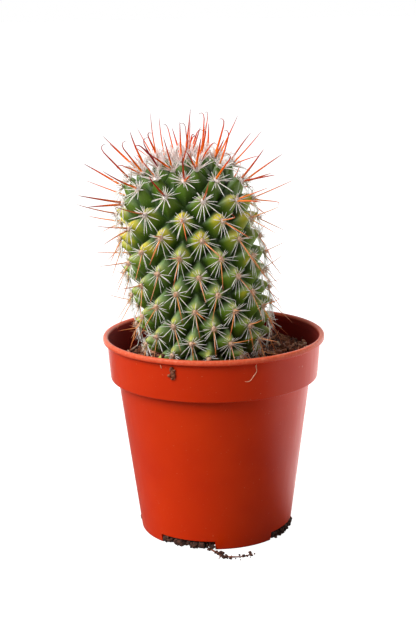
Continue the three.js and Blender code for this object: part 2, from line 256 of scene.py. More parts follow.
def moulded_polypropylene(tree, place):
    """Injection-moulded polypropylene in terracotta orange: satin, faintly rippled where the thin
    wall cooled, slightly translucent, dusted and scuffed from the potting bench, with a patchy
    painted highlight on the bead of the lip, and painted shade inside the rim, which is also made matt."""
    cloud = add(tree, "TexNoise", {"Vector": place, "Scale": 1 / (16 * MM), "Detail": 3.0})
    shade = add(tree, "ValToRGB", {"Fac": cloud}, [(0.3, "#C82C03"), (0.7, "#D23403")])
    dust = add(tree, "TexNoise", {"Vector": place, "Scale": 1 / (0.55 * MM), "Detail": 3.0})
    specks = add(tree, "MapRange", {"Value": dust, "From Min": 0.69, "From Max": 0.8, "To Max": 0.55})
    dusty = add(tree, "Mix", {"Factor": specks, "A": shade, "B": "#D98A70"}, data_type="RGBA")
    height = add(tree, "SeparateXYZ", {"Vector": place}).outputs["Z"]
    # Painted highlight: a pale pink patch over the bead of the lip, broken up by the dust noise.
    bead = add(tree, "MapRange", {"Value": height, "From Min": LIP_FOOT * MM,
                                  "From Max": (POT_HEIGHT - 0.5) * MM, "To Max": 0.8})
    lip_highlight = add(tree, "Math", {0: bead, 1: dust}, operation="MULTIPLY")
    worn = add(tree, "Mix", {"Factor": lip_highlight, "A": dusty, "B": "#F08E68"}, data_type="RGBA")
    # Painted shade: above the step the inside of the rim is darkened to a deep red, and it is also made
    # matt.
    inside_rim = inside_rim_mask(tree, place, height)
    inside_shaded = add(tree, "Mix", {"Factor": inside_rim, "A": worn, "B": "#701002"}, data_type="RGBA")
    stretch = add(tree, "Mapping", {"Vector": place, "Scale": (1.0, 1.0, 0.12)})
    scuff = add(tree, "TexNoise", {"Vector": stretch, "Scale": 1 / (1.6 * MM), "Detail": 4.0,
                                   "Roughness": 0.6})
    gloss = add(tree, "MapRange", {"Value": scuff, "From Min": 0.3, "From Max": 0.7,
                                   "To Min": 0.29, "To Max": 0.4})
    matted = add(tree, "Mix", {"Factor": inside_rim, "A": gloss, "B": 0.9})
    ripple = add(tree, "Bump", {"Height": scuff, "Strength": 0.12, "Distance": 0.12 * MM})
    grain = add(tree, "TexNoise", {"Vector": place, "Scale": 1 / (0.3 * MM), "Detail": 1.0})
    bump = add(tree, "Bump", {"Height": grain, "Strength": 0.1, "Distance": 0.03 * MM, "Normal": ripple})
    return {"Base Color": inside_shaded, "Roughness": matted, "Normal": bump,
            "IOR": 1.42, "Specular IOR Level": 0.18, "Subsurface Weight": 0.15,
            "Subsurface Radius": (1.0, 0.25, 0.1), "Subsurface Scale": 1.2 * MM}


def inside_rim_mask(tree, place, height):
    """Where shade is painted inside the rim and the surface is made matt: above the step, on what is
    nearer to the axis than the band's outside is at that height."""
    flat = add(tree, "VectorMath", {0: place, 1: (1, 1, 0)}, operation="MULTIPLY")
    radius = add(tree, "VectorMath", {0: flat}, operation="LENGTH")
    band = add(tree, "Math", {0: height, 1: BAND_TAPER, 2: band_radius(0) * MM}, operation="MULTIPLY_ADD")
    depth = add(tree, "Math", {0: band, 1: radius}, operation="SUBTRACT")
    inside = add(tree, "MapRange", {"Value": depth, "From Min": 0.2 * MM, "From Max": 0.45 * MM})
    rim = add(tree, "MapRange", {"Value": height, "From Min": (BAND_FOOT_HEIGHT + 0.5) * MM,
                                 "From Max": (BAND_FOOT_HEIGHT + 0.8) * MM})
    return add(tree, "Math", {0: inside, 1: rim}, operation="MULTIPLY")


def waxy_epidermis(tree, place):
    """The living skin of the stem: deep green flesh under a thin wax, with painted shade down in the
    valleys and in the crown, a grey bloom that is partly a painted highlight on the upper flanks of
    the tubercles, and sun-yellowed tips. It reads how high a point lies on its tubercle, how far
    above the woolly tip it is, and how yellow that spot has grown."""
    rise, upper, sun = (add(tree, "Attribute", attribute_name=name).outputs["Fac"]
                        for name in ("rise", "upper", "sun"))
    mottle = add(tree, "TexNoise", {"Vector": place, "Scale": 1 / (1.3 * MM), "Detail": 5.0,
                                    "Roughness": 0.65})
    # Painted shade: the flesh darkens from the tubercle tips down into the valleys between them.
    valley_shaded_flesh = add(tree, "ValToRGB", {"Fac": rise},
                [(0.0, "#223808"), (0.35, "#5A7A1A"), (0.75, "#7C9A38"), (1.0, "#92AE50")])
    height = add(tree, "SeparateXYZ", {"Vector": place}).outputs["Z"]
    # Painted shade: the flesh is darkened towards the crown, where the dense spines shade it.
    high = add(tree, "MapRange", {"Value": height, "From Min": 78 * MM, "From Max": 92 * MM, "To Max": 0.6})
    crown_shaded = add(tree, "Mix", {"Factor": high, "A": valley_shaded_flesh, "B": "#26440F"}, data_type="RGBA")
    # Grey bloom and painted highlight: pale grey-green on the upper flanks of the tubercles, where light
    # falls from above, patchy and strongest towards the tips.
    patchy = add(tree, "MapRange", {"Value": mottle, "From Min": 0.35, "From Max": 0.62, "To Min": 0.5})
    bloom_and_highlight_above = add(tree, "Math", {0: upper, 1: patchy}, operation="MULTIPLY")
    bloom_and_highlight = add(tree, "Math", {0: bloom_and_highlight_above, 1: rise}, operation="MULTIPLY")
    bloomed_and_highlit = add(tree, "Mix", {"Factor": bloom_and_highlight, "A": crown_shaded, "B": "#B6C8B2"}, data_type="RGBA")
    yellowed = add(tree, "Mix", {"Factor": sun, "A": bloomed_and_highlit, "B": "#F0D62A"}, data_type="RGBA")
    pores = add(tree, "TexNoise", {"Vector": place, "Scale": 1 / (0.35 * MM), "Detail": 2.0})
    specks = add(tree, "MapRange", {"Value": pores, "From Min": 0.6, "From Max": 0.75, "To Max": 0.25})
    dotted = add(tree, "Mix", {"Factor": specks, "A": yellowed, "B": "#8CA565"}, data_type="RGBA")
    bump = add(tree, "Bump", {"Height": mottle, "Strength": 0.35, "Distance": 0.12 * MM})
    return {"Base Color": dotted, "Roughness": 0.4, "Normal": bump,
            "IOR": 1.45, "Specular IOR Level": 0.3, "Subsurface Weight": 0.15,
            "Subsurface Radius": (0.5, 1.0, 0.2), "Subsurface Scale": 0.7 * MM}


def bleached_spine(tree, _):
    """Dry white bristle with a cream root, flushed with pink where it is young: horny, a little glossy
    and lit through at its edges. It reads the place along the bristle and its youth."""
    along, youth = (add(tree, "Attribute", attribute_name=name).outputs["Fac"]
                    for name in ("along", "youth"))
    shade = add(tree, "ValToRGB", {"Fac": along}, [(0.0, "#E2C6A4"), (0.18, "#F3EADF"), (1.0, "#FFFBF6")])
    flushed = add(tree, "Mix", {"Factor": youth, "A": shade, "B": "#FCE6E0"}, data_type="RGBA")
    return {"Base Color": flushed, "Roughness": 0.38, "IOR": 1.5, "Subsurface Weight": 0.3,
            "Subsurface Radius": (1.0, 0.9, 0.8), "Subsurface Scale": 0.3 * MM}


def amber_spine(tree, _):
    """Horny red spine: orange and clear at the root, red at the tip, and darker the younger it is,
    with some ripened to crimson. It reads the place along the spine, its youth, and a shade of its own."""
    along, youth, tone = (add(tree, "Attribute", attribute_name=name).outputs["Fac"]
                          for name in ("along", "youth", "tone"))
    old = add(tree, "ValToRGB", {"Fac": along}, [(0.0, "#EAA868"), (0.5, "#E28A4C"), (1.0, "#BC4A2A")])
    young = add(tree, "ValToRGB", {"Fac": along},
                [(0.0, "#FF9C34"), (0.3, "#FA6E08"), (0.66, "#D84400"), (1.0, "#6A1238")])
    ripe = add(tree, "MapRange", {"Value": tone, "From Min": 0.3, "From Max": 0.62})
    deep = add(tree, "Mix", {"Factor": ripe, "A": young, "B": "#9C1418"}, data_type="RGBA")
    pale = add(tree, "Mix", {"Factor": tone, "A": old, "B": "#F2B48C"}, data_type="RGBA")
    aged = add(tree, "Mix", {"Factor": youth, "A": pale, "B": deep}, data_type="RGBA")
    return {"Base Color": aged, "Roughness": 0.42, "IOR": 1.5, "Specular IOR Level": 0.12,
            "Subsurface Weight": 0.3, "Subsurface Radius": (1.0, 0.4, 0.2), "Subsurface Scale": 0.3 * MM}


def areole_felt(tree, place):
    """Felt of short wool on each areole: white while it is young, tan and rusty when old. It reads the
    areole's youth."""
    youth = add(tree, "Attribute", attribute_name="youth").outputs["Fac"]
    tuft = add(tree, "TexNoise", {"Vector": place, "Scale": 1 / (0.25 * MM), "Detail": 3.0})
    old = add(tree, "ValToRGB", {"Fac": tuft}, [(0.35, "#B87A50"), (0.65, "#EFD3B8")])
    young = add(tree, "ValToRGB", {"Fac": tuft}, [(0.3, "#E4CFC6"), (0.65, "#FFF8F4")])
    wool = add(tree, "Mix", {"Factor": youth, "A": old, "B": young}, data_type="RGBA")
    bump = add(tree, "Bump", {"Height": tuft, "Strength": 0.8, "Distance": 0.15 * MM})
    return {"Base Color": wool, "Roughness": 0.9, "Normal": bump,
            "Sheen Weight": 0.3, "Sheen Roughness": 0.5}


def peat_crumb(tree, place):
    """Peat and bark crumb: matt, dark brown, with redder and paler grains, and darker towards the
    bottom, nearly black at the drain notches."""
    grain = add(tree, "TexNoise", {"Vector": place, "Scale": 1 / (0.9 * MM), "Detail": 6.0,
                                   "Roughness": 0.7})
    shade = add(tree, "ValToRGB", {"Fac": grain},
                [(0.34, "#120603"), (0.47, "#4E2616"), (0.6, "#965A40"), (0.74, "#D09C82")])
    height = add(tree, "SeparateXYZ", {"Vector": place}).outputs["Z"]
    # Darker towards the bottom: nearly black at the notches and on the floor.
    low_down = add(tree, "MapRange", {"Value": height, "From Min": 4 * MM, "From Max": 30 * MM,
                                  "To Min": 0.62, "To Max": 0.0})
    darkened_low = add(tree, "Mix", {"Factor": low_down, "A": shade, "B": "#1C0B05"}, data_type="RGBA")
    bump = add(tree, "Bump", {"Height": grain, "Strength": 0.9, "Distance": 0.4 * MM})
    return {"Base Color": darkened_low, "Roughness": 0.85, "Normal": bump}


def coir_shred(tree, _):
    """Shredded coir, bark and root fibre: each shred has its own brown, from nearly black to pinkish
    tan."""
    tone = add(tree, "Attribute", attribute_name="tone").outputs["Fac"]
    shade = add(tree, "ValToRGB", {"Fac": tone},
                [(0.0, "#160803"), (0.42, "#96502F"), (0.85, "#F0B492"), (1.0, "#EADCCB")])
    return {"Base Color": shade, "Roughness": 0.7}


SEEN_GLOW = 1.0
SHED_GLOW = 1.6


def lit_acrylic(tree, place):
    """Matt opal acrylic that the pot stands on: it looks white, and sheds light from behind the pot on
    the right."""
    tooth = add(tree, "TexNoise", {"Vector": place, "Scale": 1 / (0.8 * MM), "Detail": 2.0})
    bump = add(tree, "Bump", {"Height": tooth, "Strength": 0.05, "Distance": 0.05 * MM})
    behind = add(tree, "VectorMath", {0: place, 1: (0.7, 0.7, 0)}, operation="DOT_PRODUCT")
    shed = add(tree, "MapRange", {"Value": behind, "From Min": 12 * MM, "From Max": 38 * MM,
                                  "To Max": SHED_GLOW})
    seen = add(tree, "LightPath").outputs["Is Camera Ray"]
    glow = add(tree, "Mix", {"Factor": seen, "A": shed, "B": SEEN_GLOW})
    return {"Base Color": "#8E8E8C", "Roughness": 0.8, "Normal": bump,
            "Emission Color": "#FFFFFF", "Emission Strength": glow}


# ---- Pot ----------------
POT_SEGMENTS = 256
FILLET_STEPS = 5
NOTCH_STEPS = 24
CUT_EDGE = 0.12
CUT_ANGLE = 50


def wall_radius(height):
    """Outer radius of the tapered wall under the band."""
    return BASE_RADIUS + (WALL_TOP_RADIUS - BASE_RADIUS) * height / BAND_FOOT_HEIGHT


def band_radius(height):
    """Outer radius of the band."""
    return BAND_FOOT_RADIUS + BAND_TAPER * (height - BAND_FOOT_HEIGHT)


def filleted(corners):
    """An outline whose corners (radius, height, setback) are rounded: a parabola arc from a setback
    before the corner to a setback after it."""
    corners = np.array(corners, dtype=float)
    t = np.linspace(0, 1, FILLET_STEPS)[:, None]
    outline = [corners[:1, :2]]
    for before, corner, after in zip(corners[:-2], corners[1:-1], corners[2:]):
        start = corner[:2] + unit(before[:2] - corner[:2]) * corner[2]
        end = corner[:2] + unit(after[:2] - corner[:2]) * corner[2]
        outline.append((1 - t) ** 2 * start + 2 * t * (1 - t) * corner[:2] + t**2 * end)
    outline.append(corners[-1:, :2])
    return np.vstack(outline)


def turned(outline):
    """An outline of (radius, height) that starts and ends on the axis, turned about Z."""
    rings = around(outline[1:-1, 0, None], full_turn(POT_SEGMENTS), outline[1:-1, 1, None])
    return closed_grid([0, 0, outline[0, 1]], rings, [0, 0, outline[-1, 1]])


def pot_outline():
    """Underside, tapered wall, step out to the band, lip, and back down the inside to the floor. Rows
    of points on the wall just over the notches keep their cut edges from marking the wall above."""
    over_notch = NOTCH_HEIGHT + 0.8
    return filleted([
        (0, 0, 0),
        (BASE_RADIUS, 0, 0.5),
        (wall_radius(over_notch), over_notch, 0.4),
        (WALL_TOP_RADIUS, BAND_FOOT_HEIGHT, 0.25),
        (BAND_FOOT_RADIUS, BAND_FOOT_HEIGHT, 0.35),
        (BAND_TOP_RADIUS, LIP_FOOT, 0.15),
        (LIP_RADIUS, LIP_FOOT, 0.35),
        (LIP_RADIUS, POT_HEIGHT, 0.55),
        (BAND_TOP_RADIUS, POT_HEIGHT, 0.4),
        (BAND_TOP_RADIUS - WALL, POT_HEIGHT - 1.6, 0.8),
        (BAND_FOOT_RADIUS - WALL, BAND_FOOT_HEIGHT + STEP_RISE, 0.5),
        (wall_radius(SHOULDER) - WALL, SHOULDER, 0.5),
        (wall_radius(over_notch) - WALL, over_notch, 0.4),
        (wall_radius(FLOOR) - WALL, FLOOR, 0.5),
        (0, FLOOR, 0),
    ])


def notch_turns():
    """Turns of the drain notches, evenly round the pot."""
    return NOTCH_FIRST - 90 + np.arange(NOTCHES) * 360 / NOTCHES


def notch_block(turn):
    """What a drain notch takes away: a block that follows the pot's round, made of the corners of its
    section carried along an arc. It sticks out of the pot below and outside."""
    arc = np.radians(turn + np.linspace(-NOTCH_WIDTH / 2, NOTCH_WIDTH / 2, NOTCH_STEPS))[:, None]
    inner, outer, low, high = NOTCH_INNER_RADIUS, BASE_RADIUS + 2, -1.0, NOTCH_HEIGHT
    rings = around(np.array([inner, outer, outer, inner]), arc, np.array([low, low, high, high]))
    points, quads, tris = closed_grid(rings[0].mean(axis=0), rings, rings[-1].mean(axis=0))
    return points, quads[:, ::-1], tris[:, ::-1]


def cut_notches(piece):
    """Cuts the drain notches out of the pot, softens their edges, and keeps the result as its mesh."""
    cutters = []
    for turn in notch_turns():
        points, quads, tris = notch_block(turn)
        mesh = bpy.data.meshes.new("notch_cutter")
        mesh.from_pydata((points * MM).tolist(), [], quads.tolist() + tris.tolist())
        cutters.append(put("notch_cutter", mesh))
        cut = piece.modifiers.new("drain_notch", "BOOLEAN")
        cut.operation, cut.solver, cut.object = "DIFFERENCE", "EXACT", cutters[-1]
    soften = piece.modifiers.new("soft_edges", "BEVEL")
    soften.width, soften.segments, soften.limit_method = CUT_EDGE * MM, 2, "ANGLE"
    soften.angle_limit = np.radians(CUT_ANGLE)
    soften.harden_normals = True
    cut_pot = bpy.data.meshes.new_from_object(piece.evaluated_get(bpy.context.evaluated_depsgraph_get()))
    piece.modifiers.clear()
    piece.data = cut_pot
    for cutter in cutters:
        bpy.data.objects.remove(cutter)


def nursery_pot():
    """The pot, finely turned, with its four drain notches."""
    cut_notches(make_piece("nursery_pot", turned(pot_outline()), made_of(moulded_polypropylene),
                           stands_for="pot"))


# ---- Spiral of areoles ----------------
LEAN = unit(STEM_LEAN)
STEM_SIDE = unit(np.cross([0, 1, 0], LEAN))
STEM_BACK = np.cross(LEAN, STEM_SIDE)


def waist(height):
    """How far into the drawn-in foot a height lies: a parabola from 0 at its top to 1 at the soil."""
    return (np.clip(WAIST_TOP - height, 0, WAIST_TOP) / WAIST_TOP) ** 2


def tip_radius(height):
    """Radius of the tubercle tips at a height along the axis: a parabola below the widest point, drawn
    in further at the foot, and a superellipse above it."""
    below = np.maximum(WIDEST_HEIGHT - height, 0) / WIDEST_HEIGHT
    above = np.clip((height - WIDEST_HEIGHT) / DOME_HEIGHT, 0, 1)
    side = STEM_RADIUS * (1 - FOOT_TAPER * below**2) - WAIST_DEPTH * waist(height)
    return side * (1 - above**DOME_POWER) ** (1 / DOME_POWER)


def tip_normal(radius, height):
    """Outward normal of the tip surface in the (radius, height) plane, from the same curves."""
    taper = 2 * STEM_RADIUS * FOOT_TAPER * (WIDEST_HEIGHT - height) / WIDEST_HEIGHT**2
    drawn_in = 2 * WAIST_DEPTH * np.maximum(WAIST_TOP - height, 0) / WAIST_TOP**2
    foot = np.stack([np.ones_like(radius), -taper - drawn_in], axis=-1)
    rise = np.maximum(height - WIDEST_HEIGHT, 0) / DOME_HEIGHT
    dome = np.stack([(radius / STEM_RADIUS) ** (DOME_POWER - 1) / STEM_RADIUS,
                     rise ** (DOME_POWER - 1) / DOME_HEIGHT], axis=-1)
    return unit(np.where(spread(height < WIDEST_HEIGHT, 1), foot, dome))


def stem_frame(azimuth, radius, height):
    """A point of the tip surface, and the directions out of the stem, up along it and sideways. The
    drawn-in foot is bowed a little to one side."""
    outward = spread(np.sin(azimuth), 1) * STEM_SIDE - spread(np.cos(azimuth), 1) * STEM_BACK
    normal = tip_normal(radius, height)
    out = outward * normal[..., :1] + LEAN * normal[..., 1:]
    up = LEAN * normal[..., :1] - outward * normal[..., 1:]
    place = STEM_FOOT + LEAN * spread(height, 1) + outward * spread(radius, 1)
    return place + WAIST_BOW * spread(waist(height), 1), out, up, np.cross(up, out)


def spiral_height(index):
    """Height along the axis of the areoles under the crown: their steps grow slowly."""
    return FIRST_HEIGHT + RISE * index + RISE_GROWTH * index**2


def areoles():
    """Every areole of the spiral, a golden angle from the last. In the crown the radius shrinks as
    (1 - young) to a power while the height follows the dome."""
    index = np.arange(LOWEST_INDEX, CROWN_INDEX + CROWN_COUNT)
    young = np.maximum(index - CROWN_INDEX, 0) / CROWN_COUNT
    height = spiral_height(np.minimum(index, CROWN_INDEX))
    radius = tip_radius(height) * (1 - young) ** CROWN_POWER
    dome = WIDEST_HEIGHT + DOME_HEIGHT * (1 - (radius / STEM_RADIUS) ** DOME_POWER) ** (1 / DOME_POWER)
    height = np.where(young > 0, dome, height)
    place, out, up, side = stem_frame(np.radians(SPIRAL_START + GOLDEN_ANGLE * index), radius, height)
    size = (1 - young) ** SIZE_POWER
    top = place + up * spread(TUBERCLE_TOP * size, 1)
    return {"index": index, "young": young, "size": size, "place": place, "top": top,
            "out": out, "up": up, "side": side}


def over_soil(tufts):
    """The areoles that stand clear of the soil, where spines and wool show."""
    kept = tufts["place"][:, 2] > SOIL_HEIGHT + LOWEST_OVER_SOIL
    return {key: values[kept] for key, values in tufts.items()}


def ramp_up(tufts, stretch):
    """A number for each areole that rises from 0 to 1 over a stretch of the spiral."""
    first, last = stretch
    return np.clip((tufts["index"] - first) / (last - first), 0, 1)


# ---- Stem ----------------
STEM_ROWS = 235
STEM_COLUMNS = 420
STEM_BOTTOM = -1.8
VALLEY_ROUND = 0.12
TUBERCLE_SWELL = 0.52
WOBBLE = 0.12
WOBBLE_HEIGHT = 2.6
UPPER_REACH = 3.5

YELLOW_INDEX = 79
YELLOW_SPREAD = 13
YELLOW_ABOVE = 0.7
PATCH_HEIGHT, PATCH_WIDTH = 1.7, 2.1
TINGE_HEIGHT, TINGE_WIDTH = 0.75, 0.8
TINGE = 0.5


def meridian():
    """Heights and radii of the tip surface at even steps of its arc, from under the soil to the apex."""
    foot = np.linspace(STEM_BOTTOM, WIDEST_HEIGHT, 300)
    angle = np.linspace(0, np.pi / 2, 900)[1:]
    height = np.concatenate([foot, WIDEST_HEIGHT + DOME_HEIGHT * np.sin(angle) ** (2 / DOME_POWER)])
    radius = np.concatenate([tip_radius(foot), STEM_RADIUS * np.cos(angle) ** (2 / DOME_POWER)])
    run = np.concatenate([[0], np.cumsum(np.hypot(np.diff(radius), np.diff(height)))])
    even = np.linspace(0, run[-1], STEM_ROWS)
    return np.interp(even, run, height), np.interp(even, run, radius)


def bell(above, beside, height, width):
    """1 at a spot just above a woolly tip, falling off as a bell of that height and width."""
    return np.exp(-(((above - YELLOW_ABOVE) / height) ** 2) - (beside / width) ** 2)


def nearest_tufts(place, tufts):
    """For each point the distance to its nearest and its second nearest tubercle top, how far it lies
    above the nearest, and the yellow of the tips round it: broad where the sun bleached them, in the
    zone round YELLOW_INDEX, and no more than a tinge below that."""
    shape = place.shape[:2]
    first, second = np.full(shape, np.inf), np.full(shape, np.inf)
    upper, sun = np.zeros(shape), np.zeros(shape)
    draws = np.random.default_rng(11).uniform(0.72, 1.0, len(tufts["index"]))
    for index, top, up, side, draw in zip(*(tufts[key] for key in ("index", "top", "up", "side")), draws):
        away = place - top
        distance = np.linalg.norm(away, axis=-1)
        above, beside = away @ up, away @ side
        upper = np.where(distance < first, above, upper)
        second = np.minimum(second, np.maximum(first, distance))
        first = np.minimum(first, distance)
        bleached = draw * np.exp(-(((index - YELLOW_INDEX) / YELLOW_SPREAD) ** 4))
        tinged = TINGE * draw * (index < YELLOW_INDEX)
        sun = np.maximum.reduce([sun, bleached * bell(above, beside, PATCH_HEIGHT, PATCH_WIDTH),
                                 tinged * bell(above, beside, TINGE_HEIGHT, TINGE_WIDTH)])
    return first, second, upper, sun


def stem():
    """The fleshy body. A grid over azimuth and meridian lies on the surface of the tubercle tips and
    sinks by (1 - f) of a tubercle's height, with f = s (1 + swell (1 - s)) and s = (d2 - d1) / (d2 + d1)
    from the distances to the two nearest areoles: 1 at an areole and 0 along the valley between two.
    A hyperbola in place of s rounds the valley's floor, and the yellow stays off the valleys."""
    azimuth = full_turn(STEM_COLUMNS)
    height, radius = (values[:-1, None] + 0 * azimuth for values in meridian())
    azimuth = azimuth + 0 * height
    place, out, up, _ = stem_frame(azimuth, radius, height)
    first, second, upper, sun = nearest_tufts(place, areoles())
    share = (second - first) / (second + first)
    share = (np.hypot(share, VALLEY_ROUND) - VALLEY_ROUND) / (np.hypot(1, VALLEY_ROUND) - VALLEY_ROUND)
    rise = share * (1 + TUBERCLE_SWELL - TUBERCLE_SWELL * share)
    crown_share = np.clip(radius / tip_radius(spiral_height(CROWN_INDEX)), 0, 1)
    size = np.where(height > WIDEST_HEIGHT, crown_share ** (SIZE_POWER / CROWN_POWER), 1)
    sunk = spread(size * (1 - rise), 1)
    wobble = WOBBLE * lattice_noise(azimuth * LATTICE / (2 * np.pi), height / WOBBLE_HEIGHT, 1.0, 5)
    rings = place - (out * TUBERCLE_HEIGHT + up * TUBERCLE_RAKE) * sunk
    rings = rings + out * spread(wobble * np.sin(np.pi * np.clip(rise, 0, 1)), 1)
    low_pole = STEM_FOOT + LEAN * (STEM_BOTTOM - 1)
    high_pole = STEM_FOOT + LEAN * (WIDEST_HEIGHT + DOME_HEIGHT)
    values = {"rise": rise, "upper": np.sqrt(np.clip(upper / UPPER_REACH, 0, 1)),
              "sun": sun * np.clip((rise - 0.25) / 0.35, 0, 1)}
    values = {key: np.append(numbers.ravel(), [0, 0]) for key, numbers in values.items()}
    make_piece("stem", closed_grid(low_pole, rings, high_pole), made_of(waxy_epidermis), values,
               stands_for="cactus")


# ---- Spines ----------------
def tubes(start, along, across, length, thickness, turns, steps, sides, fullness=3.0):
    """Tapered rods that may bend. steps are the shares of the length where a ring stands, and turns
    holds each rod's angle from `along` towards `across` at those shares. The centre line is the sum of
    the steps taken in that direction, and the thickness falls as (1 - share^fullness)^0.6 to a point.
    It returns the skin, and each point's share of the length."""
    count, share = len(start), np.asarray(steps)
    along, across = along[:, None], across[:, None]
    middle = spread((turns[:, 1:] + turns[:, :-1]) / 2, 1)
    stride = spread(np.diff(share) * length[:, None], 1)
    walked = np.cumsum((np.cos(middle) * along + np.sin(middle) * across) * stride, axis=1)
    line = start[:, None] + np.concatenate([np.zeros((count, 1, 3)), walked], axis=1)
    turns = spread(turns[:, :-1], 1)
    inward = np.cos(turns) * across - np.sin(turns) * along
    radius = thickness[:, None] / 2 * (1 - share[:-1] ** fullness) ** 0.6
    rings = hoops(line[:, :-1], inward, np.cross(along, across), radius, sides)
    _, quads, tris = closed_grid([0, 0, 0], rings[0], [0, 0, 0])
    points = np.concatenate([rings.reshape(count, -1, 3), line[:, :1], line[:, -1:]], axis=1)
    per_point = np.concatenate([np.repeat(share[:-1], sides), [0.0, 1.0]])
    return repeated(points, quads, tris), np.tile(per_point, count)


def planted(tufts, tilt, turn, foot=0.0, sunk=0.0):
    """Where each spine of [areole, spine] starts, and its directions along and across: tilted from
    straight out and turned round from straight up, on a ring of radius foot round the areole, sunk a
    little into it. Each is an array of one row for each spine."""
    tilt, turn = spread(tilt, 1), spread(turn, 1)
    out, up, side = (tufts[key][:, None] for key in ("out", "up", "side"))
    level = up * np.cos(turn) + side * np.sin(turn)
    start = tufts["place"][:, None] + level * spread(foot * tufts["size"], 2) - out * sunk
    along = out * np.cos(tilt) + level * np.sin(tilt)
    across = level * np.cos(tilt) - out * np.sin(tilt)
    return (rows.reshape(-1, 3) for rows in (start, along, across))


RADIALS = 18
RADIAL_LENGTH = 5.0
RADIAL_THICKNESS = 0.15
RADIAL_STEPS = [0.0, 0.3, 0.6, 0.85, 1.0]
RADIAL_TILT = 80
RADIAL_TILT_SPREAD = 7
UPPER_LIFT = 8
YOUNG_LIFT = 58
UPPER_SHORTENING = 0.6
WORN_HEIGHT = 8.0
MOST_WORN = 0.6
RADIAL_FOOT = 0.45
RADIAL_SUNK = 0.35


def radial_spines(tufts):
    """The white spines that ring each areole: evenly turned with a little jitter, ever shorter from the
    lowest to the topmost, worn short near the soil, almost flat on the old tubercles and more upright
    towards the crown."""
    draw = np.random.default_rng(21)
    shape = (len(tufts["index"]), RADIALS)
    turn = (np.arange(RADIALS) + 0.5) * 2 * np.pi / RADIALS + draw.normal(0, 0.15, shape)
    young, size = tufts["young"][:, None], tufts["size"][:, None]
    above = (1 + np.cos(turn)) / 2
    tilt = draw.normal(RADIAL_TILT, RADIAL_TILT_SPREAD, shape) - UPPER_LIFT * above - YOUNG_LIFT * young**0.8
    length = RADIAL_LENGTH * (1 - UPPER_SHORTENING * above * (1 - young)) * draw.uniform(0.68, 1.08, shape)
    worn = np.clip((tufts["place"][:, 2:] - SOIL_HEIGHT) / WORN_HEIGHT, MOST_WORN, 1)
    length = length * (0.8 + 0.2 * size) * worn
    start, along, across = planted(tufts, np.radians(tilt), turn, RADIAL_FOOT, RADIAL_SUNK)
    turns = draw.normal(0.1, 0.15, (len(start), 1)) * np.array(RADIAL_STEPS)
    grown = ramp_up(tufts, THICKENING)[:, None]
    thickness = RADIAL_THICKNESS * draw.uniform(0.8, 1.15, shape) * (1 + 0.3 * grown + 0.6 * young)
    skin, share = tubes(start, along, across, length.ravel(), thickness.ravel(), turns, RADIAL_STEPS, 4)
    flush = np.clip((tufts["young"] - 0.25) / 0.5, 0, 1)
    make_piece("radial_spines", skin, made_of(bleached_spine), {"along": share, "youth": flush})


CENTRAL_STEPS = [0.0, 0.2, 0.4, 0.6, 0.74, 0.82, 0.88, 0.94, 1.0]
CENTRAL_TURNS = np.radians([180, 0, 80])
CENTRAL_SWINGS = np.radians([24, 38, 22])
OLD_TILTS = np.radians([56, 24, 50])
CROWN_TILTS = np.radians([20, 4, 24])
FAN_DEPTH = 14.0
OLD_LENGTHS = np.array([8.4, 7.2, 5.8])
CROWN_LENGTHS = np.array([9.4, 12.4, 10.2])
OLD_SHARES = np.array([1.0, 0.45, 0.08])
CROWN_SHARES = np.array([0.5, 1.0, 0.22])
CENTRAL_THICKNESS = 0.27
CROWN_THICKNESS = 0.56
CENTRAL_FOOT = 0.2
CENTRAL_SUNK = 0.4
HOOK_START = 0.78
HOOK_TURN = 2.8
HOOKED_SHARE = 0.4
OLD_HOOKED_SHARE = 0.1
BARE_APEX = 0.93


def between(old, crown, grown):
    """Values for each spine of each areole, blended from old to crown by how far up the areole is."""
    return old + (crown - old) * grown


def fanned(tufts, grown):
    """The areoles with straight out turned, the more the higher up they are, to straight away from a
    point on the axis a little under the dome, so that the spines of the crown open like a fan."""
    focus = STEM_FOOT + LEAN * (WIDEST_HEIGHT + DOME_HEIGHT - FAN_DEPTH)
    out = unit(between(tufts["out"], unit(tufts["place"] - focus), grown))
    side = unit(np.cross(tufts["up"], out))
    return {**tufts, "out": out, "side": side, "up": np.cross(out, side)}


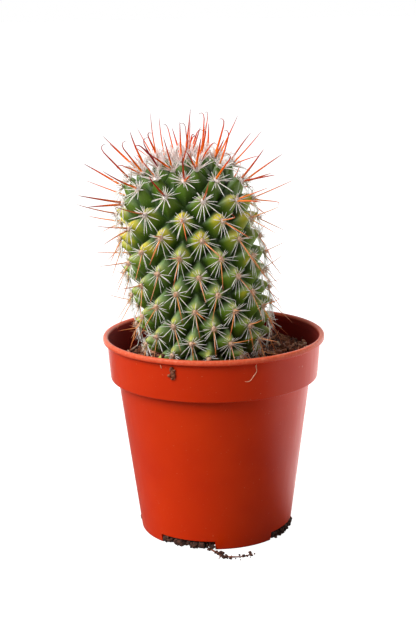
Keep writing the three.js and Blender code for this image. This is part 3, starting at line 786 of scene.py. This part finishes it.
def central_spines(tufts):
    """The red spines at the middle of each areole: one that points down, one that stands out and up,
    and now and then one to a side. They grow longer, thicker and straighter towards the crown, and
    some of the young ones end in a hook."""
    draw = np.random.default_rng(33)
    shape = (len(tufts["index"]), len(CENTRAL_TURNS))
    young = tufts["young"][:, None]
    grown = ramp_up(tufts, GROWING)[:, None] ** 2
    tufts = fanned(tufts, grown)
    hand = np.where(draw.uniform(0, 1, (len(young), 1)) < 0.5, 1, -1)
    turn = CENTRAL_TURNS * hand + draw.normal(0, 1, shape) * CENTRAL_SWINGS
    tilt = between(OLD_TILTS, CROWN_TILTS, grown) + draw.normal(0, 0.12, shape)
    length = between(OLD_LENGTHS, CROWN_LENGTHS, grown) * draw.uniform(0.78, 1.0, shape)
    start, along, across = planted(tufts, tilt, turn, CENTRAL_FOOT, CENTRAL_SUNK)
    steps = np.array(CENTRAL_STEPS)
    bend = draw.normal(0.1, 0.12, (len(start), 1)) * steps
    hooked = draw.uniform(0, 1, shape) < np.where(young > 0, HOOKED_SHARE, OLD_HOOKED_SHARE)
    curl = np.clip((steps - HOOK_START) / (1 - HOOK_START), 0, 1)
    turns = bend + hooked.reshape(-1, 1) * HOOK_TURN * curl
    thickness = between(CENTRAL_THICKNESS, CROWN_THICKNESS, grown**2) * draw.uniform(0.65, 1.15, shape)
    grows = draw.uniform(0, 1, shape) < between(OLD_SHARES, CROWN_SHARES, grown > 0.8)
    grows = (grows & (young < BARE_APEX)).ravel()
    skin, share = tubes(start[grows], along[grows], across[grows], length.ravel()[grows],
                        thickness.ravel()[grows], turns[grows], CENTRAL_STEPS, 6, fullness=1.4)
    youth = np.repeat(ramp_up(tufts, REDDENING), shape[1])[grows]
    tone = (draw.uniform(0, 0.8, len(start)) ** 2)[grows]
    make_piece("central_spines", skin, made_of(amber_spine), {"along": share, "youth": youth, "tone": tone})


# ---- Wool ----------------
WOOL_HALF_SIZE = {"side": 0.62, "up": 0.7, "out": 0.5}
WOOL_SUNK = 0.12
HAIRS = 20
HAIR_FOOT = 0.35
HAIR_STEPS = [0.0, 0.35, 0.7, 1.0]


def lumps(centre, axes, rows, columns, draw, roughness):
    """Closed uneven blobs: spheres on a grid of rows and columns, scaled along the three axes given for
    each as vectors, with a random factor for each point."""
    polar = np.linspace(0, np.pi, rows + 2)[1:-1, None]
    ball = around(np.sin(polar), full_turn(columns), -np.cos(polar))
    points, quads, tris = closed_grid([0, 0, -1], ball, [0, 0, 1])
    uneven = draw.uniform(1 - roughness, 1 + roughness, (len(centre), len(points), 1))
    return repeated(centre[:, None] + (points * uneven) @ axes, quads, tris)


def areole_wool(tufts):
    """A low dome of felt in each areole, a little wider than high, and larger in the crown."""
    draw = np.random.default_rng(41)
    size = spread(tufts["size"] * (1 + tufts["young"]), 1)
    axes = np.stack([tufts[key] * half * size for key, half in WOOL_HALF_SIZE.items()], axis=1)
    skin = lumps(tufts["place"] - tufts["out"] * WOOL_SUNK, axes, 6, 9, draw, 0.14)
    make_piece("areole_wool", skin, FELT, {"youth": ramp_up(tufts, WHITENING)})


def areole_hairs(tufts):
    """Short woolly hairs that stand out of the felt on all sides, longer in the crown."""
    draw = np.random.default_rng(43)
    shape = (len(tufts["index"]), HAIRS)
    turn = draw.uniform(0, 2 * np.pi, shape)
    tilt = np.radians(draw.uniform(10, 85, shape))
    start, along, across = planted(tufts, tilt, turn)
    start = start + along * spread(np.repeat(HAIR_FOOT * tufts["size"], HAIRS), 1)
    youth, young = ramp_up(tufts, WHITENING), tufts["young"]
    length = draw.uniform(0.5, 1.0, shape) * (1 + 1.1 * youth + 1.6 * young)[:, None]
    turns = draw.normal(0, 0.8, (len(start), 1)) * np.array(HAIR_STEPS)
    thickness = np.repeat(0.08 + 0.08 * young, HAIRS)
    skin, _ = tubes(start, along, across, length.ravel(), thickness, turns, HAIR_STEPS, 3)
    make_piece("areole_hairs", skin, FELT, {"youth": youth})


# ---- Soil ----------------
CLOD_SIZES = [2.1, 1.0, 0.5]
CLOD_HEIGHTS = [0.5, 0.5, 0.2]
SOIL_COLUMNS = 300
SOIL_RINGS = 130
CRUMBS = 1000
CRUMB_SIZES = (0.14, 1.0)
FIBRES = 1000
FIBRE_LENGTHS = (0.9, 6.0)
FIBRE_THICKNESSES = (0.15, 0.75)
FIBRE_BEDDED = 0.3
UNDER_STEM = 1.2
NOTCH_CRUMBS = 260
NOTCH_CRUMB_SIZES = (0.22, 0.85)


def soil_top(x, y):
    """Height of the soil: a slope to the right, low bumps, a shallow dish where the stem stands, and
    clods of three sizes."""
    bumps = 0.5 * np.sin(0.55 * x + 0.7) * np.cos(0.5 * y) + 0.3 * np.sin(0.8 * y + 0.3 * x)
    away = np.hypot(x - DISH_CENTRE[0], y - DISH_CENTRE[1])
    dish = 1 / (1 + np.exp((away - DISH_RADIUS + DISH_EDGE) / DISH_EDGE))
    clods = sum(height * lattice_noise(x, y, size, seed)
                for height, size, seed in zip(CLOD_HEIGHTS, CLOD_SIZES, (1, 2, 3)))
    return SOIL_HEIGHT + SOIL_SLOPE * x + (bumps + clods) * (1 - 0.6 * dish) - 0.5 * dish


def soil_bed():
    """The whole filling: a turned body that follows the pot's inside, closed by the uneven top."""
    bottom, inset = FLOOR + SOIL_GAP, WALL + SOIL_GAP
    side = np.array([
        (wall_radius(bottom) - inset, bottom),
        (wall_radius(SHOULDER) - inset, SHOULDER),
        (BAND_FOOT_RADIUS - inset, BAND_FOOT_HEIGHT + STEP_RISE + 0.4),
    ])
    radius = np.concatenate([side[:, 0], np.linspace(side[-1, 0], 0.2, SOIL_RINGS)])
    rings = around(radius[:, None], full_turn(SOIL_COLUMNS) - np.pi / 2, 0.0)
    rings[..., 2] = soil_top(rings[..., 0], rings[..., 1])
    rings[: len(side), :, 2] = side[:, 1, None]
    middle = [0, 0, soil_top(np.zeros(1), np.zeros(1))[0]]
    make_piece("soil_bed", closed_grid([0, 0, bottom], rings, middle), PEAT, stands_for="soil")


def soil_spots(draw, count, outer_radius=24.0):
    """Random places on the open ring of soil between the stem and the pot."""
    spots = draw.uniform(-outer_radius, outer_radius, (count * 4, 2))
    inside = np.hypot(spots[:, 0], spots[:, 1]) < outer_radius
    off_stem = np.hypot(*(spots - DISH_CENTRE).T) > DISH_RADIUS - UNDER_STEM
    return spots[inside & off_stem][:count]


def crumbs(draw, centre, size, rows=4, columns=7, uneven=0.2, roughness=0.25):
    """Blobs of those sizes, turned at random, with perpendicular axes of uneven lengths."""
    turned_axes, _ = np.linalg.qr(draw.normal(size=(len(size), 3, 3)))
    axes = turned_axes * spread(size, 2) * draw.uniform(1 - uneven, 1 + uneven, (len(size), 3, 1))
    return lumps(centre, axes, rows, columns, draw, roughness)


def soil_crumbs():
    """Loose crumbs of bark on the soil, most of them small."""
    draw = np.random.default_rng(51)
    x, y = soil_spots(draw, CRUMBS).T
    size = np.clip(draw.lognormal(-1.0, 0.45, len(x)), *CRUMB_SIZES)
    centre = np.stack([x, y, soil_top(x, y) + size * 0.35], axis=-1)
    skin = crumbs(draw, centre, size, 3, 6, uneven=0.35, roughness=0.3)
    make_piece("soil_crumbs", skin, COIR, {"tone": draw.beta(0.8, 1.4, len(x)) * 0.9})


def soil_fibres():
    """Curled shreds of coir and fine roots that lie in the soil's top: arcs of random curl that start
    level or a little upward."""
    draw = np.random.default_rng(53)
    x, y = soil_spots(draw, FIBRES, outer_radius=23.6).T
    count = len(x)
    heading = draw.uniform(0, 2 * np.pi, count)
    along = unit(around(1.0, heading, draw.normal(0.1, 0.28, count)))
    across = unit(np.cross(along, draw.normal(size=(count, 3))))
    length = np.clip(draw.lognormal(0.85, 0.45, count), *FIBRE_LENGTHS)
    start = np.stack([x, y, soil_top(x, y) + 0.3], axis=-1) - along * spread(length * FIBRE_BEDDED, 1)
    steps = np.linspace(0, 1, 8)
    turns = draw.normal(0, 1.9, (count, 1)) * steps
    thickness = np.clip(draw.lognormal(-1.05, 0.4, count), *FIBRE_THICKNESSES)
    skin, _ = tubes(start, along, across, length, thickness, turns, steps, 4)
    keep_inside(skin[0], 24.3)
    tone = np.clip(draw.beta(0.9, 1.0, count), 0, 0.93)
    make_piece("soil_fibres", skin, COIR, {"tone": tone})


def keep_inside(points, radius):
    """Points past a radius are pulled in to it, so that no shred goes through the wall."""
    away = np.hypot(points[:, 0], points[:, 1])
    points[:, :2] *= spread(np.minimum(1, radius / np.maximum(away, 1e-6)), 1)


def notch_soil():
    """Dark crumbs that bulge out of the drain notches, packed in the block that each notch leaves."""
    draw = np.random.default_rng(57)
    centres, sizes = [], []
    for middle in notch_turns():
        turn = np.radians(middle + draw.uniform(-0.47, 0.47, NOTCH_CRUMBS) * NOTCH_WIDTH)
        radius = draw.uniform(NOTCH_INNER_RADIUS + 1.0, BASE_RADIUS + 0.15, NOTCH_CRUMBS)
        size = np.clip(draw.lognormal(-0.75, 0.35, NOTCH_CRUMBS), *NOTCH_CRUMB_SIZES)
        height = draw.uniform(0, 1, NOTCH_CRUMBS) * (NOTCH_HEIGHT + 0.1 - 2 * size) + size
        centres.append(around(radius, turn, height))
        sizes.append(size)
    skin = crumbs(draw, np.concatenate(centres), np.concatenate(sizes), 3, 6)
    keep_above(skin[0], 0.05)
    make_piece("notch_soil", skin, PEAT)


def keep_above(points, height):
    """Points under a height are lifted to it, so that nothing goes through the floor."""
    points[:, 2] = np.maximum(points[:, 2], height)


# ---- Loose bits ----------------
# Places on the band are azimuths and heights, and the others are points. They are listed one by one.
ROOT_ON_BAND = [(21.0, 48.75), (21.5, 47.9), (22.0, 46.7), (20.8, 45.8), (18.4, 44.45), (15.6, 44.4)]
SPLINTER_ON_BAND = [(-28.3, 48.3), (-27.9, 47.9), (-27.6, 47.3)]
SHRED_ON_BAND = [(-23.0, 47.6), (-21.6, 47.1), (-20.6, 46.1), (-20.2, 44.9)]
CRUMBS_ON_BAND = (-21.2, 46.4)
SPECKS_ON_PLANT = [(-15.2, -15.0, 54.8), (-12.1, -15.9, 48.4)]
CURL_IN_SOIL = [(7.4, -15.2, 43.8), (7.4, -14.6, 46.4), (7.9, -14.0, 48.2), (8.5, -14.3, 47.4),
                (9.2, -15.0, 46.3)]
ROOT_ON_FLOOR = [(-3.2, -17.6, 0.5), (-1.9, -18.6, 0.35), (0.2, -21.4, 0.3), (2.2, -23.6, 0.35),
                 (4.2, -24.4, 0.5), (6.6, -23.6, 0.3), (8.8, -22.2, 0.35)]
SIDE_ROOT_ON_FLOOR = [(0.2, -21.4, 0.3), (0.9, -23.2, 0.25), (0.4, -24.8, 0.2)]


def strand(route, thickness, steps=48):
    """A fine root or shred laid along a route: a Catmull-Rom curve through the route's points, with a
    round section that swells and thins a little and closes to a point at both ends."""
    route = np.array(route, dtype=float)
    knots = np.vstack([2 * route[0] - route[1], route, 2 * route[-1] - route[-2]])
    run = np.linspace(0, len(route) - 1, steps)
    first = np.minimum(run.astype(int), len(route) - 2)
    t = (run - first)[:, None]
    a, b, c, d = (knots[first + k] for k in range(4))
    line = 0.5 * (2 * b + (c - a) * t + (2 * a - 5 * b + 4 * c - d) * t**2 + (3 * b - a - 3 * c + d) * t**3)
    along = unit(np.gradient(line, axis=0))
    side = unit(np.cross(along, [0.31, 0.22, 0.92]))
    share = np.linspace(-1, 1, steps)
    radius = thickness / 2 * (1 - share**4) ** 0.6 * (1 + 0.2 * np.sin(9 * share))
    rings = hoops(line, side, np.cross(along, side), radius, 6)
    return closed_grid(line[0], rings[1:-1], line[-1])


def on_band(azimuth, height, lift):
    """Places on the outside of the rim, a little off the band or off the lip above it."""
    radius = np.where(height > LIP_FOOT - 0.2, LIP_RADIUS, band_radius(height)) + lift
    return around(radius, np.radians(azimuth - 90), height)


def bits_on_band():
    """What stuck to the damp rim at potting: a pale root, a splinter, and a clot of dark crumbs with
    a shred in it."""
    root = strand(on_band(*np.transpose(ROOT_ON_BAND), 0.04), 0.17)
    splinter = strand(on_band(*np.transpose(SPLINTER_ON_BAND), 0.06), 0.2, steps=16)
    shred = strand(on_band(*np.transpose(SHRED_ON_BAND), 0.3), 0.26)
    tone = np.repeat([0.85, 0.8, 0.3], [len(root[0]), len(splinter[0]), len(shred[0])])
    make_piece("roots_on_band", joined([root, splinter, shred]), COIR, {"tone": tone})
    draw = np.random.default_rng(61)
    count = 22
    size = draw.uniform(0.16, 0.42, count)
    azimuth = CRUMBS_ON_BAND[0] + draw.normal(0, 0.75, count)
    height = np.clip(CRUMBS_ON_BAND[1] + draw.normal(0, 0.75, count), 44.9, 47.7)
    skin = crumbs(draw, on_band(azimuth, height, size * 0.5), size, uneven=0.25)
    make_piece("crumbs_on_band", skin, COIR, {"tone": draw.uniform(0.1, 0.4, count)})


def bits_by_plant():
    """Two specks of soil on the plant's left and a shred that curls up from the soil at its foot."""
    draw = np.random.default_rng(59)
    specks = crumbs(draw, np.array(SPECKS_ON_PLANT), np.array([0.45, 0.5]))
    curl = strand(CURL_IN_SOIL, 0.36)
    tone = np.repeat([0.12, 0.7], [len(specks[0]), len(curl[0])])
    make_piece("bits_by_plant", joined([specks, curl]), COIR, {"tone": tone})


def bits_on_floor():
    """A root with crumbs on it that has come out of the front notch and lies beside the foot."""
    root = joined([strand(ROOT_ON_FLOOR, 0.4), strand(SIDE_ROOT_ON_FLOOR, 0.25, steps=24)])
    make_piece("root_on_floor", root, COIR, {"tone": np.full(len(root[0]), 0.25)})
    draw = np.random.default_rng(63)
    count = 46
    route = np.array(ROOT_ON_FLOOR)
    share = draw.uniform(0, len(route) - 1, count)
    near = np.stack([np.interp(share, np.arange(len(route)), route[:, k]) for k in range(2)], axis=-1)
    near = near + draw.normal(0, 0.5, (count, 2))
    size = draw.uniform(0.14, 0.5, count)
    centre = np.column_stack([near, size * 0.75])
    skin = crumbs(draw, centre, size)
    keep_above(skin[0], 0.02)
    make_piece("crumbs_on_floor", skin, PEAT)


# ---- Studio ----------------
FLOOR_REACH = 6000.0
FLOOR_CORNERS = 96
LIT_POINT = np.array([0.0, 0.0, 55.0])
FRONT_LEVEL = 0.02
BACK_LEVEL = 1.3
CEILING_SHARE = 0.25

CAMERA_DISTANCE = 350.0
CAMERA_ELEVATION = 18.0
CAMERA_ROLL = -0.8
LENS = 79.46
SENSOR = 36.0
FRAME_SIZE = np.array([416.0, 624.0])
AIM = np.array([0.0, 0.0, 25.0])
AIM_PIXEL = np.array([213.3, 428.3])


def studio_floor():
    """A large flat disc under the pot."""
    rim = around(FLOOR_REACH, full_turn(FLOOR_CORNERS), 0.0)
    mesh = bpy.data.meshes.new("studio_floor")
    mesh.from_pydata((rim * MM).tolist(), [], [list(range(FLOOR_CORNERS))])
    mesh.materials.append(made_of(lit_acrylic))
    put("studio_floor", mesh)


def stand(thing, axes, place):
    """Stands a light or the camera at a place in millimetres, with its right, its up and its back along
    the given axes."""
    rows = [(*row, at) for row, at in zip(np.stack(axes, axis=1), place * MM)]
    thing.matrix_world = Matrix(rows + [(0, 0, 0, 1)])


def soft_light(name, azimuth, elevation, distance, size, power):
    """A square soft light aimed at the middle of the plant: distance and size in millimetres."""
    data = bpy.data.lights.new(name, "AREA")
    data.size, data.energy = size * MM, power
    turn, rise = np.radians([azimuth - 90, elevation])
    back = around(np.cos(rise), turn, np.sin(rise))
    right = unit(np.cross([0, 0, 1], back))
    stand(put(name, data), [right, np.cross(back, right), back], LIT_POINT + back * distance)


def studio_light():
    """A large soft key from the left front, a weaker one from the right, low and a little behind, and
    a white room that is darker at the front and overhead."""
    soft_light("key_light", azimuth=-52, elevation=38, distance=750, size=500, power=7.9)
    soft_light("rim_light", azimuth=135, elevation=12, distance=900, size=600, power=1.9)
    world = bpy.data.worlds.new("white_room")
    bpy.context.scene.world = world
    world.use_nodes = True
    tree = world.node_tree
    tree.nodes.clear()
    heading = add(tree, "TexCoord").outputs["Generated"]
    parts = add(tree, "SeparateXYZ", {"Vector": heading}).outputs
    room = add(tree, "MapRange", {"Value": parts["Y"], "From Min": -0.7, "From Max": 0.8,
                                  "To Min": FRONT_LEVEL, "To Max": BACK_LEVEL})
    ceiling = add(tree, "MapRange", {"Value": parts["Z"], "To Min": 1.0, "To Max": CEILING_SHARE})
    lit = add(tree, "Math", {0: room, 1: ceiling}, operation="MULTIPLY")
    seen = add(tree, "LightPath").outputs["Is Camera Ray"]
    level = add(tree, "Mix", {"Factor": seen, "A": lit, "B": 1.0})
    back = add(tree, "Background", {"Color": "#FFFFFF", "Strength": level})
    add(tree, "OutputWorld", {"Surface": back})
    bpy.context.scene.view_settings.view_transform = "Standard"


def photo_camera():
    """A camera 35 cm from the pot's middle, turned so that this middle lands on its pixel of the frame
    and rolled a little."""
    rise, roll = np.radians([CAMERA_ELEVATION, CAMERA_ROLL])
    away = np.array([0, -np.cos(rise), np.sin(rise)])
    right = np.array([1.0, 0, 0])
    up = np.cross(away, right)
    offset = (AIM_PIXEL - FRAME_SIZE / 2) / (LENS / SENSOR * FRAME_SIZE[1])
    back = unit(away + offset[0] * right - offset[1] * up)
    side = unit(np.cross(up, back))
    top = np.cross(back, side)
    data = bpy.data.cameras.new("photo_camera")
    data.lens, data.sensor_width, data.clip_start = LENS, SENSOR, 0.01
    camera = put("photo_camera", data)
    stand(camera, [np.cos(roll) * side + np.sin(roll) * top, np.cos(roll) * top - np.sin(roll) * side, back],
          AIM + away * CAMERA_DISTANCE)
    bpy.context.scene.camera = camera


# ---- The object ----------------
PEAT, COIR, FELT = made_of(peat_crumb), made_of(coir_shred), made_of(areole_felt)
CLEAR_TUFTS = over_soil(areoles())

photo_camera()
studio_light()
studio_floor()
nursery_pot()
soil_bed()
soil_crumbs()
soil_fibres()
notch_soil()
bits_on_band()
bits_by_plant()
bits_on_floor()
stem()
areole_wool(CLEAR_TUFTS)
areole_hairs(CLEAR_TUFTS)
radial_spines(CLEAR_TUFTS)
central_spines(CLEAR_TUFTS)
